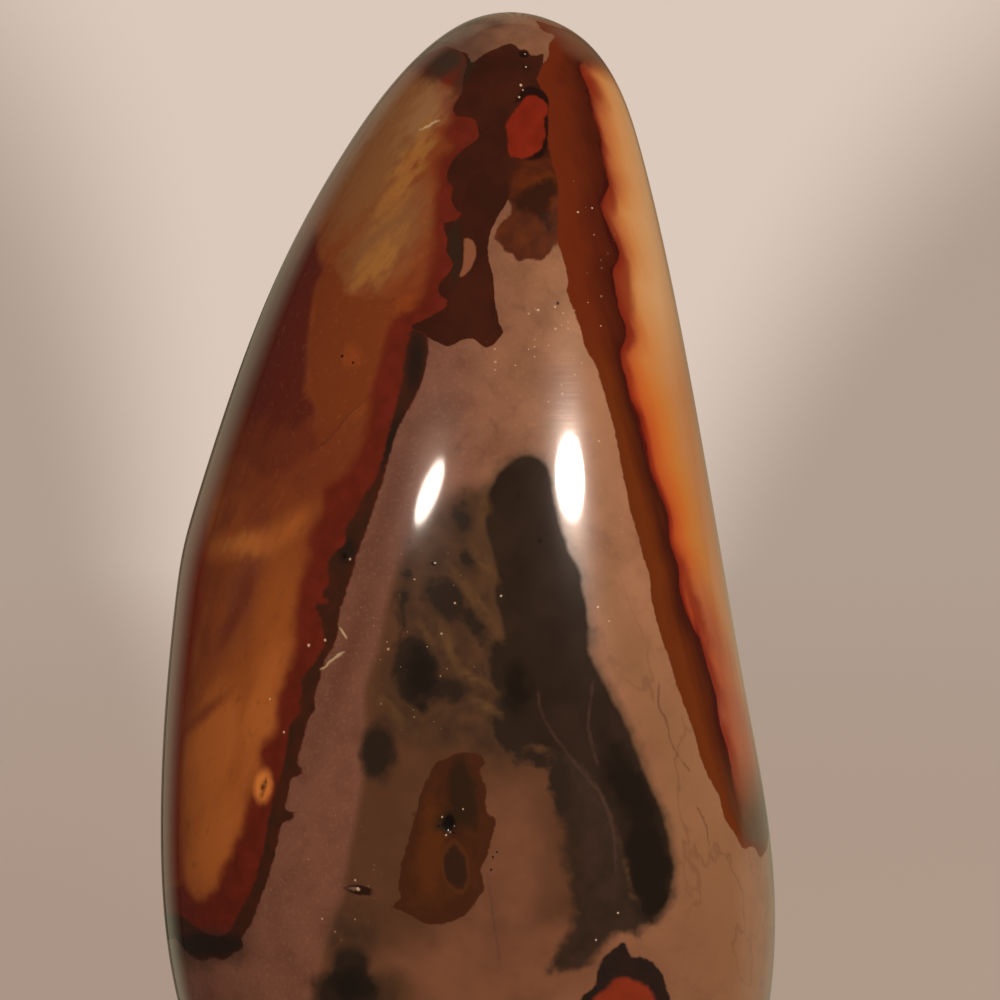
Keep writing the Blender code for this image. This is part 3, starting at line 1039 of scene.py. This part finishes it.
class Paint:
    """Colours laid over each other on one material."""

    def __init__(self, name):
        self.material = bpy.data.materials.new(name)
        self.material.use_nodes = True
        self.tree = self.material.node_tree
        self.shader = self.tree.nodes["Principled BSDF"]
        self.light = FRONT_LIGHT
        self.colour = None
        self.haze = HAZE
        self.noises = {}
        self.place = self.vector("SCALE", self.add("ShaderNodeTexCoord").outputs["Object"], scale=1 / MM)

    def add(self, kind, **settings):
        node = self.tree.nodes.new(kind)
        for name, value in settings.items():
            setattr(node, name, value)
        return node

    def feed(self, socket, value):
        if isinstance(value, bpy.types.NodeSocket):
            self.tree.links.new(value, socket)
        elif isinstance(value, tuple) and len(value) == 3 and socket.type == "RGBA":
            socket.default_value = (*value, 1.0)
        else:
            socket.default_value = value

    def vector(self, operation, first, second=None, scale=None):
        node = self.add("ShaderNodeVectorMath", operation=operation)
        self.feed(node.inputs[0], first)
        if second is not None:
            self.feed(node.inputs[1], second)
        if scale is not None:
            self.feed(node.inputs["Scale"], scale)
        return node.outputs["Value"] if operation == "DISTANCE" else node.outputs["Vector"]

    def math(self, operation, first, second=0.0, third=0.0):
        node = self.add("ShaderNodeMath", operation=operation)
        for socket, value in zip(node.inputs, (first, second, third)):
            self.feed(socket, value)
        return node.outputs["Value"]

    def times(self, *shares):
        product = shares[0]
        for share in shares[1:]:
            product = self.math("MULTIPLY", product, share)
        return product

    def axis(self, vector, name):
        node = self.add("ShaderNodeSeparateXYZ")
        self.feed(node.inputs["Vector"], vector)
        return node.outputs[name]

    def field(self, name):
        return self.add("ShaderNodeAttribute", attribute_name=name).outputs["Fac"]

    def noise(self, name):
        """One of the named noises, from -1 to 1."""
        if name not in self.noises:
            size, detail, stretch, lean = NOISES[name]
            place = self.place
            if stretch != 1.0:
                turned = self.add("ShaderNodeVectorRotate", rotation_type="Y_AXIS")
                self.feed(turned.inputs["Vector"], place)
                self.feed(turned.inputs["Angle"], -math.radians(lean))
                place = self.vector("MULTIPLY", turned.outputs["Vector"], (1.0, 1.0, 1.0 / stretch))
            node = self.add("ShaderNodeTexNoise")
            self.feed(node.inputs["Vector"], place)
            node.inputs["Scale"].default_value = 1.0 / size
            node.inputs["Detail"].default_value = detail
            self.noises[name] = self.math("MULTIPLY_ADD", node.outputs[0], 2.0, -1.0)
        return self.noises[name]

    def stirred(self, value, grain, amount):
        """A value that a noise raises and lowers."""
        return self.math("MULTIPLY_ADD", self.noise(grain), amount, value)

    def step(self, value, low, high):
        """A soft step from 0 at one value to 1 at another."""
        node = self.add("ShaderNodeMapRange", interpolation_type="SMOOTHSTEP")
        self.feed(node.inputs["Value"], value)
        self.feed(node.inputs["From Min"], low)
        self.feed(node.inputs["From Max"], high)
        return node.outputs["Result"]

    def region(self, name, soft=0.1, rag=0.0, grain="fine", start=0.0):
        """How far a point is within a marking: 0 outside, 1 inside, with a soft or ragged edge."""
        value = self.field(name)
        if rag:
            value = self.stirred(value, grain, rag)
        return self.step(value, start - soft, start + soft)

    def tint(self, colour):
        """The stone's own colour where a colour of the 0-255 scale shows in the light."""
        return tuple(min(c / light, 1.0) for c, light in zip(linear(colour), self.light))

    def mix(self, first, second, share):
        node = self.add("ShaderNodeMix", data_type="RGBA")
        self.feed(node.inputs[0], share)
        self.feed(node.inputs[6], first)
        self.feed(node.inputs[7], second)
        return node.outputs[2]

    def blend(self, first, second, grain, spread=0.5):
        """A colour that wanders between two with a noise."""
        share = self.step(self.noise(grain), -spread, spread)
        return self.mix(self.tint(first), self.tint(second), share)

    def ramp(self, value, stops):
        """A colour that runs through stops of place and colour, the first of them at 0."""
        high = stops[-1][0]
        share = self.add("ShaderNodeMapRange")
        self.feed(share.inputs["Value"], value)
        self.feed(share.inputs["From Max"], high)
        node = self.add("ShaderNodeValToRGB")
        while len(node.color_ramp.elements) < len(stops):
            node.color_ramp.elements.new(1.0)
        for element, (at, colour) in zip(node.color_ramp.elements, stops):
            element.position = at / high
            element.color = (*self.tint(colour), 1.0)
        self.feed(node.inputs["Fac"], share.outputs["Result"])
        return node.outputs["Color"]

    def lay(self, colour, *shares):
        """Lays a colour over what is there as far as the shares allow."""
        if isinstance(colour, tuple):
            colour = self.tint(colour)
        self.colour = self.mix(self.colour, colour, self.times(*shares))

    def layers(self, rows, *shares):
        """Lays rows of marking, colour, softness, raggedness, noise and strength."""
        for name, colour, soft, rag, grain, strength in rows:
            self.lay(colour, *shares, self.region(name, soft, rag, grain), strength)

    def polished(self, share):
        """Notes where the polish is free of haze."""
        self.haze = self.times(self.haze, self.math("SUBTRACT", 1.0, share))


# Where the ground mass turns from mauve to tan, in millimetres to the right, where its cracks
# begin, in millimetres to the back, and how wide a band of the crack noise shows. Mauve and tan
# are the stone's own colours; the tan is also made lighter, as painted light from the right.
MAUVE_TO_TAN = (-8.0, 13.0)
CRACKED_BACK = (5.0, 14.0)
CRACK_BAND = 0.03


def paint_matrix(paint):
    """The ground mass: mauve on the left and tan on the right, with painted light making the right
    lighter.
    """
    paint.light = FRONT_LIGHT
    mauve = paint.blend((110, 69, 53), (128, 83, 65), "broad")
    tan = paint.blend((135, 91, 63), (156, 107, 77), "broad")
    from_left = paint.stirred(paint.axis(paint.place, "X"), "vast", 4.0)
    # Painted light: the lighter tan on the right stands for the stronger light from the right.
    paint.colour = paint.mix(mauve, tan, paint.step(from_left, *MAUVE_TO_TAN))
    paint.lay((130, 83, 63), paint.region("bright_left", 4.0, 1.0, "broad"), 0.6)
    paint.lay((98, 57, 42), paint.region("seam_side", 1.5, 1.0, "broad"), 0.7)
    paint.lay((104, 64, 46), paint.step(paint.noise("lumpy"), 0.0, 0.6), 0.5)
    paint.lay((182, 134, 106), paint.step(paint.noise("dust"), 0.0, 0.6), 0.15)
    flank = paint.region("tan_flank", 2.0, 1.0, "broad")
    paint.lay((146, 104, 71), flank, 0.7)
    # Painted shade: darker low on the right flank and along the band.
    paint.lay((132, 90, 64), paint.region("flank_painted_shade", 6.0, 1.0, "broad"), 0.6)
    # Painted light: the lighter strip on the right flank and a painted halo beside the right lamp's
    # reflection.
    paint.lay((172, 124, 92), paint.region("lit_flank_and_halo", 2.4, 1.4, "broad"), 0.5)
    crack = paint.step(paint.math("ABSOLUTE", paint.noise("crack")), CRACK_BAND, 0.0)
    paint.lay((102, 62, 41), crack, flank, 0.35)
    paint.lay((84, 50, 36), crack, paint.step(paint.axis(paint.place, "Y"), *CRACKED_BACK), 0.5)


def paint_olive(paint):
    """The smoky olive cloud in the middle of the front and the brown veil around it."""
    veil = paint.region("veil", 0.8, 0.7, "broad")
    paint.lay(paint.blend((88, 56, 37), (98, 63, 42), "broad"), veil)
    pale = paint.blend((114, 73, 50), (128, 83, 58), "broad")
    paint.lay(pale, paint.region("veil_pale", 3.0, 1.0, "broad"))
    haze = paint.blend((68, 46, 31), (88, 59, 38), "lumpy")
    paint.lay(haze, paint.region("olive_haze", 1.6, 1.0, "broad"))
    paint.lay((80, 57, 36), paint.region("olive", 1.0, 0.8, "lumpy", start=-0.7), 0.75)
    shade = paint.region("olive_shade", 0.9, 1.8, "lumpy")
    paint.lay(paint.blend((48, 35, 24), (61, 41, 31), "lumpy"), shade)
    body = paint.region("olive", 0.35, 0.4, "lumpy")
    paint.lay(paint.blend((51, 37, 28), (43, 30, 22), "broad", 0.4), body)
    paint.lay((47, 34, 25), paint.region("olive_blotch", 0.7, 2.4, "lumpy"))
    paint.lay((45, 33, 24), paint.region("veil_dark", 0.9, 1.1, "lumpy"))
    paint.lay((31, 23, 16), paint.region("olive_core", 1.0, 1.4, "lumpy"))
    golden = paint.blend((110, 80, 46), (82, 56, 36), "lumpy", 0.4)
    paint.lay(golden, paint.region("golden_blotch", 0.5, 1.2, "lumpy"), 0.9)
    paint.polished(paint.times(veil, 0.55))
    paint.polished(paint.times(body, 0.88))


# Colours across the band and the zone, low down and high up: place, colour. The place runs from 0
# to 1 across the band, and is the depth within the zone in millimetres.
LOW_BAND = (
    (0.0, (102, 45, 16)),
    (0.3, (106, 47, 14)),
    (0.6, (86, 35, 12)),
    (0.82, (66, 25, 13)),
    (0.95, (62, 20, 13)),
    (1.0, (84, 20, 11)),
)
HIGH_BAND = (
    (0.0, (107, 41, 16)),
    (0.35, (103, 39, 15)),
    (0.65, (86, 32, 14)),
    (0.9, (72, 25, 12)),
    (1.0, (62, 17, 10)),
)
LOW_ZONE = (
    (0.0, (110, 30, 14)),
    (0.6, (148, 50, 24)),
    (1.3, (180, 80, 34)),
    (2.5, (190, 98, 40)),
    (4.0, (194, 114, 48)),
    (6.0, (192, 125, 62)),
    (9.0, (190, 132, 84)),
)
HIGH_ZONE = (
    (0.0, (104, 32, 16)),
    (0.6, (140, 62, 34)),
    (1.2, (168, 90, 50)),
    (2.5, (188, 120, 64)),
    (4.2, (198, 142, 88)),
    (8.0, (206, 160, 112)),
)

# The heights between which low turns to high, the foot begins and the zone ends at its top, in
# millimetres, and the least width of the band that a place across it is divided by.
LOW_TO_HIGH = (104.0, 118.0)
RIGHT_FOOT = (61.0, 50.0)
ZONE_TOP = (150.5, 144.0)
LEAST_WIDTH = 0.01


def paint_right(paint):
    """The brown band of the right side and the golden zone behind it."""
    paint.light = RIGHT_LIGHT
    band = paint.region("right_band", 0.12, 0.26)
    from_left = paint.math("MAXIMUM", paint.field("right_band"), 0.0)
    from_right = paint.math("MAXIMUM", paint.times(paint.field("right_zone"), -1.0), 0.0)
    width = paint.math("ADD", from_left, paint.math("MAXIMUM", from_right, LEAST_WIDTH))
    share = paint.stirred(paint.math("DIVIDE", from_left, width), "band", 0.24)
    low = paint.ramp(share, LOW_BAND)
    high = paint.ramp(share, HIGH_BAND)
    height = paint.stirred(paint.axis(paint.place, "Z"), "vast", 3.0)
    upper = paint.step(height, *LOW_TO_HIGH)
    foot = paint.step(height, *RIGHT_FOOT)
    paint.lay(paint.mix(low, high, upper), band)
    paint.lay((94, 54, 30), band, foot, paint.step(share, 0.3, 0.7))

    zone = paint.times(paint.region("right_zone", 0.14, 0.5, "lumpy"), paint.step(height, *ZONE_TOP))
    depth = paint.stirred(paint.field("right_zone"), "band", 0.8)
    lower = paint.ramp(depth, LOW_ZONE)
    golden = paint.ramp(depth, HIGH_ZONE)
    paint.lay(paint.mix(lower, golden, upper), zone)
    paint.lay((162, 89, 62), zone, paint.region("zone_salmon", 1.2, 0.8, "band"), 0.9)
    paint.lay((124, 38, 19), zone, paint.region("zone_crimson", 0.6, 0.5, "lumpy"), 0.8)
    paint.lay(paint.blend((84, 58, 41), (96, 66, 45), "lumpy"), zone, foot)
    paint.polished(band)


def paint_crown(paint):
    """The dark patch near the top with its spots."""
    paint.light = FRONT_LIGHT
    patch = paint.region("dark_patch", 0.09, 0.16)
    paint.lay(paint.blend((54, 25, 15), (67, 29, 17), "broad", 0.4), patch)
    paint.lay((48, 34, 24), patch, paint.region("patch_green", 0.6, 0.5), 0.9)
    ring = paint.stirred(paint.field("spot_ring"), "lumpy", 0.35)
    paint.lay((32, 14, 9), patch, paint.step(ring, -0.3, 0.3), 0.9)
    paint.lay(paint.blend((130, 38, 21), (112, 32, 15), "lumpy"), paint.region("red_spot", 0.2, 0.3))
    rust = paint.blend((92, 40, 17), (66, 30, 17), "lumpy", 0.4)
    paint.lay(rust, paint.region("crown_rust", 0.5, 0.6, "lumpy"))
    paint.lay(paint.blend((98, 45, 16), (76, 33, 16), "lumpy"), paint.region("brown_blob", 0.2, 0.4))
    paint.lay((54, 27, 15), paint.region("blob_core", 0.7, 0.9))
    paint.lay((133, 82, 58), paint.region("pebble", 0.14, 0.12))
    paint.polished(patch)


# Markings within the panel's body, from the lowest up, and those over its margin too: name,
# colour, softness, raggedness, noise, strength.
PANEL_LAYERS = (
    ("panel_mauve", (103, 54, 36), 1.6, 1.4, "flow", 0.8),
    ("panel_ochre", (118, 77, 45), 2.2, 2.0, "streak", 1.0),
    ("panel_sand", (130, 94, 62), 1.4, 2.2, "streak", 0.85),
    ("maroon_field", (82, 31, 21), 0.9, 1.0, "flow", 1.0),
    ("amber_lobe", (107, 50, 23), 0.6, 0.8, "flow", 1.0),
    ("panel_tan", (138, 74, 31), 1.8, 1.4, "flow", 0.85),
    ("panel_gold", (140, 93, 45), 1.0, 2.4, "streak", 0.9),
    ("panel_amber", (160, 90, 40), 1.6, 1.6, "flow", 0.85),
    ("panel_smear", (96, 40, 22), 0.6, 0.8, "flow", 0.7),
    ("panel_rose", (110, 56, 42), 1.0, 1.2, "lumpy", 0.8),
    ("rim_maroon", (104, 35, 20), 1.8, 1.0, "flow", 0.95),
)
PANEL_SPOTS = (
    ("panel_green", (52, 40, 31), 1.2, 0.8, "fine", 0.95),
    ("amber_spot", (130, 64, 26), 0.8, 0.7, "fine", 0.6),
    ("panel_eye", (190, 112, 52), 0.5, 0.15, "fine", 1.0),
)
# The heights between which the maroon field's colour fades in and out below it, in millimetres.
FIELD_FOOT = (86.0, 94.0)
FIELD_HEAD = (104.0, 98.0)


def paint_panel(paint):
    """The tall red and amber panel of the left side."""
    paint.light = LEFT_LIGHT
    panel = paint.region("panel", 0.1, 0.2)
    paint.lay(paint.blend((96, 32, 19), (82, 27, 15), "lumpy"), panel)
    body = paint.times(panel, paint.region("panel_body", 1.1, 1.0, "lumpy"))
    paint.lay(paint.blend((121, 61, 28), (105, 49, 24), "flow"), body)
    paint.layers(PANEL_LAYERS, body)
    # Below the maroon field its colour breaks up into the amber.
    height = paint.stirred(paint.axis(paint.place, "Z"), "flow", 6.0)
    fading = paint.times(paint.step(height, *FIELD_FOOT), paint.step(height, *FIELD_HEAD))
    paint.lay((100, 45, 24), body, fading, 0.7)
    paint.lay((165, 120, 72), body, paint.step(paint.noise("fine"), 0.1, 0.7), 0.12)
    paint.lay((66, 32, 20), body, paint.step(paint.noise("streak"), 0.15, 0.7), 0.45)
    paint.layers(PANEL_SPOTS, panel)
    paint.lay((58, 38, 28), paint.region("seam_shade", 1.6, 0.9, "lumpy"), 0.85)
    seam = paint.region("panel_seam", 0.25, 0.4)
    paint.lay(paint.blend((48, 27, 17), (62, 29, 16), "lumpy"), seam)
    paint.lay((30, 22, 18), seam, paint.region("seam_dark", 0.7, 0.8, "lumpy"), 0.85)
    paint.polished(panel)


CAP_TO_TAN = (-0.5, 6.0)  # where the cap turns from mauve to tan, in millimetres to the right


def paint_cap(paint):
    """The mauve and tan cap of the tip, and the haze beside it."""
    paint.light = FRONT_LIGHT
    paint.lay((114, 76, 54), paint.region("crown_haze", 1.2, 0.5, "broad"), 0.9)
    cap = paint.region("cap", 0.12, 0.2)
    mauve = paint.blend((106, 74, 60), (95, 65, 51), "lumpy")
    tan = paint.blend((140, 96, 72), (122, 84, 60), "lumpy")
    from_left = paint.step(paint.axis(paint.place, "X"), *CAP_TO_TAN)
    paint.lay(paint.mix(mauve, tan, from_left), cap)
    paint.lay((88, 56, 42), paint.region("cap_spot", 0.4, 0.3), 0.8)


def paint_inclusions(paint):
    """The brown inclusion in the veil and the small islands low down and behind."""
    paint.light = FRONT_LIGHT
    body = paint.region("inclusion", 0.16, 0.35)
    paint.lay(paint.blend((80, 41, 18), (68, 34, 16), "lumpy", 0.4), body)
    paint.lay((72, 36, 18), body, paint.step(paint.field("inclusion"), 1.5, 0.3), 0.9)
    paint.lay((92, 47, 16), body, paint.region("inclusion_amber", 0.8, 0.8), 0.8)
    paint.lay((44, 30, 17), body, paint.region("inclusion_streak", 0.7, 0.9, "lumpy"), 0.85)
    oval = paint.stirred(paint.field("inclusion_oval"), "lumpy", 0.6)
    edge = paint.step(paint.math("ABSOLUTE", paint.math("SUBTRACT", oval, 0.2)), 0.25, 0.08)
    paint.lay((53, 31, 19), body, paint.step(oval, 0.0, 0.7), 0.95)
    paint.lay((90, 50, 22), body, edge, 0.5)
    paint.lay(paint.blend((37, 25, 20), (44, 27, 20), "lumpy"), paint.region("low_ring", 0.2, 0.3))
    paint.lay(paint.blend((136, 49, 24), (124, 42, 20), "lumpy"), paint.region("low_eye", 0.4, 0.3))
    # Painted shade in the small lens-shaped pit, with a painted glint in it.
    paint.lay((47, 24, 15), paint.region("lens", 0.12, 0.1))
    paint.lay((132, 96, 80), paint.region("lens_glint", 0.2, 0.1))
    paint.lay((92, 60, 43), paint.region("back_island", 3.0, 3.0, "broad", start=-2.5), 0.8)
    island = paint.blend((46, 34, 24), (66, 47, 34), "broad", 0.4)
    paint.lay(island, paint.region("back_island", 0.7, 1.3, "lumpy"))
    paint.lay((76, 34, 18), paint.region("low_islands", 0.15, 0.4, "lumpy"))


# Thin lines: name, half width in millimetres, colour, and how strongly they show.
LINES = (
    ("pale_vein", 0.34, (88, 58, 52), 0.5),
    ("dark_vein", 0.28, (86, 40, 24), 0.55),
    ("quartz_vein", 0.26, (200, 170, 132), 0.9),
)


def paint_lines(paint):
    """Thin veins that a noise bends and breaks."""
    broken = paint.step(paint.noise("lumpy"), -0.8, 0.3)
    for name, width, colour, strength in LINES:
        over = paint.stirred(paint.field(name), "fine", 0.3)
        line = paint.step(paint.math("ABSOLUTE", over), width, 0.0)
        paint.lay(colour, line, broken, paint.field(name + "_near"), strength)


# Grains: how many to a millimetre, and the slope and start of their size over a cell's number.
SPARKLE_PACE = 1.2
SPARKLE_SIZE = (0.5, -0.30)


def paint_sparkle(paint):
    """Tiny bright grains where the ground mass is coarse."""
    cells = paint.add("ShaderNodeTexVoronoi")
    paint.feed(cells.inputs["Vector"], paint.place)
    paint.feed(cells.inputs["Scale"], SPARKLE_PACE)
    size = paint.math("MULTIPLY_ADD", paint.axis(cells.outputs["Color"], "X"), *SPARKLE_SIZE)
    spot = paint.math("LESS_THAN", cells.outputs["Distance"], size)
    paint.lay((204, 168, 134), spot, paint.region("sparkle", 2.0, 1.5, "broad"), 0.7)


# Colours of the dots, and their raggedness and their even core as shares of the radius.
DARK_DOT = (24, 14, 10)
GRAIN_AND_GLINT_COLOUR = (210, 180, 150)
DOT_RAG = 0.7
DOT_CORE = 0.4


def paint_dots(paint, photo):
    """Single pinholes darkened as painted shade, and bright grains and painted glints, drawn on the
    surface by their distance from a point.
    """
    for dots, colour in ((DARK_DOTS, DARK_DOT), (GRAINS_AND_GLINTS, GRAIN_AND_GLINT_COLOUR)):
        for x, y, radius in dots:
            away = paint.vector("DISTANCE", paint.place, tuple(photo.places([(x, y)])[0]))
            away = paint.stirred(away, "dust", radius * DOT_RAG)
            paint.lay(colour, paint.step(away, radius, radius * DOT_CORE), 0.9)


# The polish, the haze over it, and the hair-fine marks in the haze: their depth in metres and how
# often they cross a millimetre along each axis.
POLISH_ROUGHNESS = 0.06
STONE_IOR = 1.54
HAZE_ROUGHNESS = 0.23
SCRATCH_DEPTH = 0.000004
SCRATCH_PACE = (0.06, 0.06, 3.0)


def polish(paint):
    """A mirror polish, with a haze of hair-fine marks on the ground mass."""
    inputs = paint.shader.inputs
    paint.feed(inputs["Roughness"], POLISH_ROUGHNESS)
    paint.feed(inputs["IOR"], STONE_IOR)
    paint.feed(inputs["Coat Weight"], paint.haze)
    paint.feed(inputs["Coat Roughness"], HAZE_ROUGHNESS)
    marks = paint.add("ShaderNodeTexNoise")
    paint.feed(marks.inputs["Vector"], paint.vector("MULTIPLY", paint.place, SCRATCH_PACE))
    paint.feed(marks.inputs["Scale"], 1.0)
    bump = paint.add("ShaderNodeBump")
    paint.feed(bump.inputs["Distance"], SCRATCH_DEPTH)
    paint.feed(bump.inputs["Height"], marks.outputs[0])
    paint.feed(inputs["Coat Normal"], bump.outputs["Normal"])


def jasper(photo):
    """The stone's material, with its markings laid from the ground mass up."""
    paint = Paint("polished_jasper")
    paint_matrix(paint)
    paint_olive(paint)
    paint_crown(paint)
    paint_right(paint)
    paint_panel(paint)
    paint_cap(paint)
    paint_inclusions(paint)
    paint_lines(paint)
    paint_sparkle(paint)
    paint_dots(paint, photo)
    # Painted shade: the floors of the small hollows are laid near black.
    paint.lay((20, 13, 9), paint.region("vug", 0.25, 0.35))
    paint.feed(paint.shader.inputs["Base Color"], paint.colour)
    polish(paint)
    return paint.material


def make_room():
    """The backdrop, the floor, the walls that the polish shows, and a dim world around them."""
    make_bowl()
    make_floor()
    make_wall("left_wall", LEFT_WALL)
    make_wall("right_wall", RIGHT_WALL)
    world = bpy.data.worlds.new("world")
    world.use_nodes = True
    world.node_tree.nodes["Background"].inputs["Color"].default_value = (*DARK_ROOM, 1.0)
    bpy.context.scene.world = world


def main():
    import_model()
    scene = bpy.context.scene
    scene.view_settings.view_transform = "Standard"
    camera = make_camera()
    bpy.context.view_layer.update()
    mesh, turn = stone_mesh()
    photo = Photograph(camera, mesh)
    mark_stone(photo, mesh, turn)
    stone = bpy.data.objects.new("polished_stone", mesh)
    scene.collection.objects.link(stone)
    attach(stone, "root")
    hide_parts("jasper_freeform")
    stone.data.materials.append(jasper(photo))

    lamp("right_lamp", photo, RIGHT_GLINT, RIGHT_LAMP)
    lamp("left_lamp", photo, LEFT_GLINT, LEFT_LAMP)
    soft_light("right_fill", RIGHT_FILL)
    soft_light("back_fill", BACK_FILL)
    make_room()


main()
